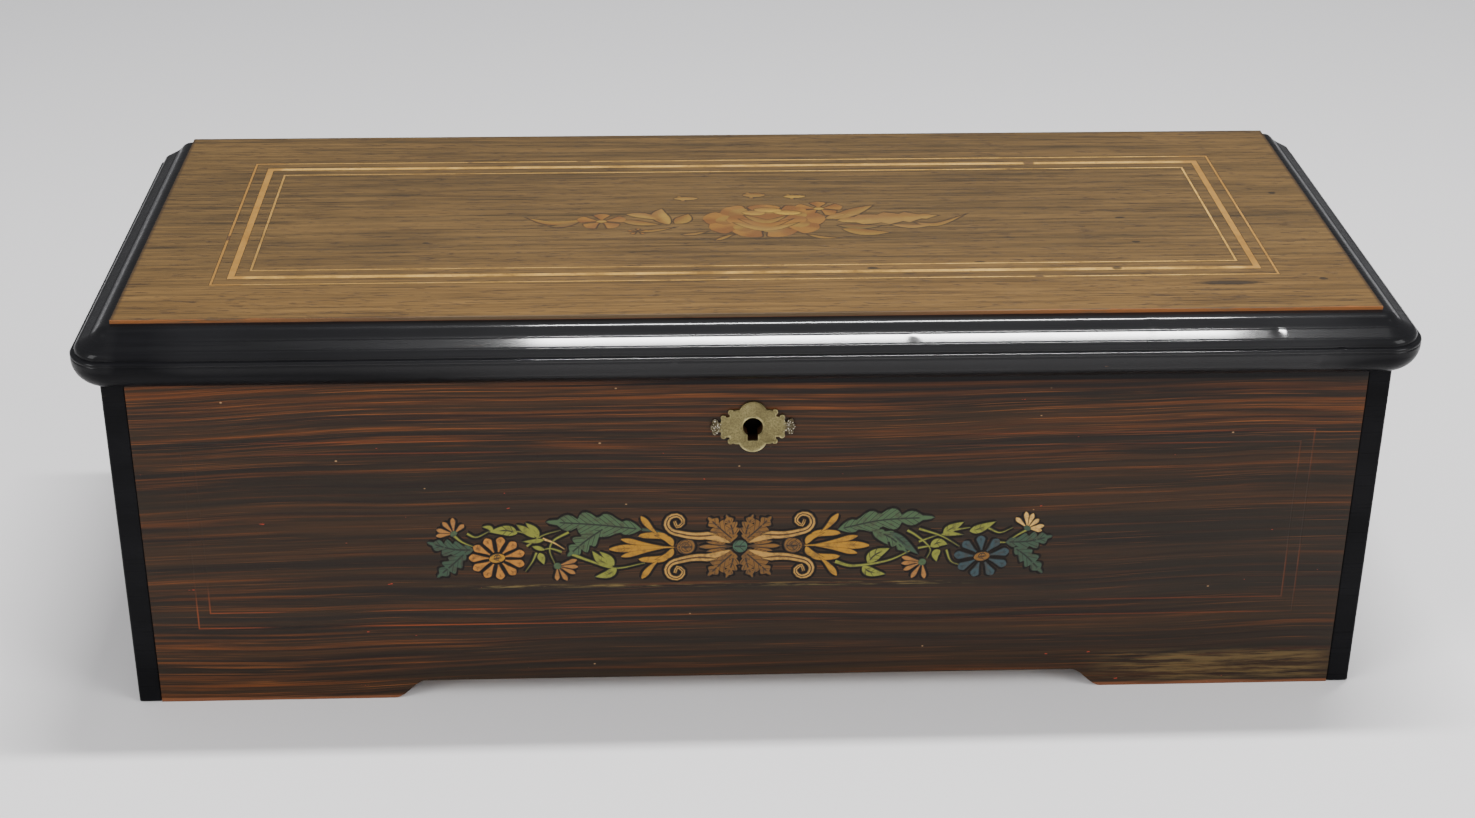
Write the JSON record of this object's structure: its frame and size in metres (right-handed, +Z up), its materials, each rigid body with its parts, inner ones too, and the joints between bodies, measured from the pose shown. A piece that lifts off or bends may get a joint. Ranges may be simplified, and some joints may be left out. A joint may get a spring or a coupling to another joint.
{
  "type": "cylinder music box",
  "caption": "Lever-wound cylinder music box: veneered lid with stringing over an ebonised case, glass inner lid, pinned cylinder, steel comb, spring barrel and air-brake governor.",
  "frame": {"origin": "on the table, under the middle of the whole box", "axes": "+X to the right along the front, +Y from the front to the back, +Z up"},
  "size_m": [0.5108, 0.2166, 0.1655],
  "materials": {
    "ebonised_wood": "gloss",
    "grained_front": "satin",
    "stained_back": "satin",
    "pale_carcase": "matt",
    "black_inner_wood": "satin",
    "lid_core": "matt",
    "lid_veneer": "satin",
    "stringing": "satin",
    "pane_glass": "clear",
    "escutcheon_metal": "dull",
    "fittings_brass": "satin",
    "plain_steel": "satin",
    "blued_steel": "polished",
    "movement_brass": "brushed",
    "wheel_brass": "polished",
    "cylinder_brass": "satin",
    "comb_steel": "polished",
    "lead_grey": "matt",
    "pin_steel": "satin"
  },
  "bodies": {
    "case": {"front_board": "grained_front", "back_board": "stained_back", "left_end": "ebonised_wood", "right_end": "ebonised_wood", "bottom_board": "pale_carcase", "left_partition": "black_inner_wood", "right_partition": "black_inner_wood", "glass_ledges": "black_inner_wood", "escutcheon": "escutcheon_metal", "lock_case": "fittings_brass", "case_hinge_leaves": "fittings_brass", "hinge_pins": "plain_steel", "bed_bearers": "pale_carcase", "case_screws": "fittings_brass", "glass_hinge_plates": "fittings_brass", "bedplate": "movement_brass", "left_bridge": "movement_brass", "right_bridge": "movement_brass", "movement_screws": "blued_steel", "comb_base": "movement_brass", "comb": "comb_steel", "comb_weights": "lead_grey", "barrel_bracket": "movement_brass", "click_fittings": "blued_steel", "governor_frame": "movement_brass", "control_plate": "movement_brass"},
    "lid": {"lid_board": "lid_core", "lid_frame": "black_inner_wood", "lid_veneer": "lid_veneer", "lid_stringing": "stringing", "moulding_front": "ebonised_wood", "moulding_left": "ebonised_wood", "moulding_right": "ebonised_wood", "lid_hinge_leaves": "fittings_brass", "lid_screws": "fittings_brass", "lock_strike": "fittings_brass"},
    "glass_lid": {"glass_frame": "black_inner_wood", "glass_pane": "pane_glass", "glass_hinge_leaves": "fittings_brass", "glass_knob": "fittings_brass"},
    "lock_bolt": {"lock_bolt": "plain_steel"},
    "arbor": {"cylinder_arbor": "plain_steel", "drive_pinion": "plain_steel", "great_wheel": "wheel_brass"},
    "snail": {"snail_cam": "wheel_brass"},
    "cylinder": {"pinned_cylinder": "cylinder_brass", "cylinder_pins": "pin_steel"},
    "barrel": {"spring_barrel": "wheel_brass", "barrel_cover": "wheel_brass", "mainspring": "blued_steel"},
    "second_wheel": {"second_wheel": "wheel_brass"},
    "worm_wheel": {"worm_wheel": "wheel_brass"},
    "fly": {"fly": "plain_steel"},
    "winding_lever": {"winding_lever": "movement_brass"},
    "winding_arbor": {"winding_arbor": "plain_steel", "ratchet_wheel": "plain_steel"},
    "lever_pawl": {"lever_pawl": "plain_steel"},
    "click": {"click": "plain_steel"},
    "stop_lever": {"stop_lever": "movement_brass"},
    "change_lever": {"change_lever": "movement_brass"}
  },
  "joints": [
    {"name": "lid_hinge", "type": "hinge", "parent": "case", "child": "lid", "pos_m": [0, 0.1053, 0.1418], "axis": [-1, 0, 0], "range_deg": [0, 95]},
    {"name": "glass_hinge", "type": "hinge", "parent": "case", "child": "glass_lid", "pos_m": [0.0045, 0.0904, 0.1276], "axis": [-1, 0, 0], "range_deg": [0, 85.5]},
    {"name": "bolt_slide", "type": "slide", "parent": "case", "child": "lock_bolt", "axis": [1, 0, 0], "range_m": [0, 0.0035]},
    {"name": "cylinder_spin", "type": "hinge", "parent": "case", "child": "arbor", "pos_m": [0, 0.0271, 0.076], "axis": [-1, 0, 0], "continuous": true},
    {"name": "snail_turn", "type": "hinge", "parent": "arbor", "child": "snail", "pos_m": [0.1275, 0.0271, 0.0633], "axis": [1, 0, 0], "range_deg": [0, 315]},
    {"name": "cylinder_shift", "type": "slide", "parent": "arbor", "child": "cylinder", "axis": [-1, 0, 0], "range_m": [0, 0.0028]},
    {"name": "barrel_spin", "type": "hinge", "parent": "case", "child": "barrel", "pos_m": [-0.138, -0.009, 0.076], "axis": [1, 0, 0], "continuous": true},
    {"name": "second_wheel_spin", "type": "hinge", "parent": "case", "child": "second_wheel", "pos_m": [0.15, 0.059, 0.0698], "axis": [1, 0, 0], "continuous": true},
    {"name": "worm_wheel_spin", "type": "hinge", "parent": "case", "child": "worm_wheel", "pos_m": [0.155, 0.04495, 0.08039], "axis": [-1, 0, 0], "continuous": true},
    {"name": "fly_spin", "type": "hinge", "parent": "case", "child": "fly", "pos_m": [0.1605, 0.03255, 0.08039], "axis": [0, 0, -1], "continuous": true},
    {"name": "winding_lever_swing", "type": "hinge", "parent": "case", "child": "winding_lever", "pos_m": [-0.195, -0.009, 0.076], "axis": [1, 0, 0], "range_deg": [0, 80]},
    {"name": "winding_arbor_turn", "type": "hinge", "parent": "case", "child": "winding_arbor", "pos_m": [-0.16, -0.009, 0.076], "axis": [1, 0, 0], "range_deg": [0, 80]},
    {"name": "lever_pawl_swing", "type": "hinge", "parent": "winding_lever", "child": "lever_pawl", "pos_m": [-0.1865, 0.00873, 0.09502], "axis": [1, 0, 0], "range_deg": [0, 12]},
    {"name": "click_swing", "type": "hinge", "parent": "case", "child": "click", "pos_m": [-0.1865, -0.03439, 0.05822], "axis": [-1, 0, 0], "range_deg": [0, 12], "stiffness_Nm_per_rad": 0.02, "springref_deg": -28.65},
    {"name": "stop_lever_swing", "type": "hinge", "parent": "case", "child": "stop_lever", "pos_m": [0.1925, 0.01005, 0.09949], "axis": [-1, 0, 0], "range_deg": [0, 14]},
    {"name": "change_lever_swing", "type": "hinge", "parent": "case", "child": "change_lever", "pos_m": [0.1925, -0.02395, 0.09949], "axis": [-1, 0, 0], "range_deg": [0, 12]}
  ],
  "couplings": [
    {"joint": "glass_hinge", "follows": "lid_hinge", "ratio": 0.9},
    {"joint": "snail_turn", "follows": "cylinder_shift", "rad_per_m": 1963.5},
    {"joint": "barrel_spin", "follows": "cylinder_spin", "ratio": 0.25},
    {"joint": "second_wheel_spin", "follows": "cylinder_spin", "ratio": 8},
    {"joint": "worm_wheel_spin", "follows": "cylinder_spin", "ratio": 48},
    {"joint": "fly_spin", "follows": "cylinder_spin", "ratio": 1728},
    {"joint": "winding_arbor_turn", "follows": "winding_lever_swing", "ratio": 1}
  ]
}
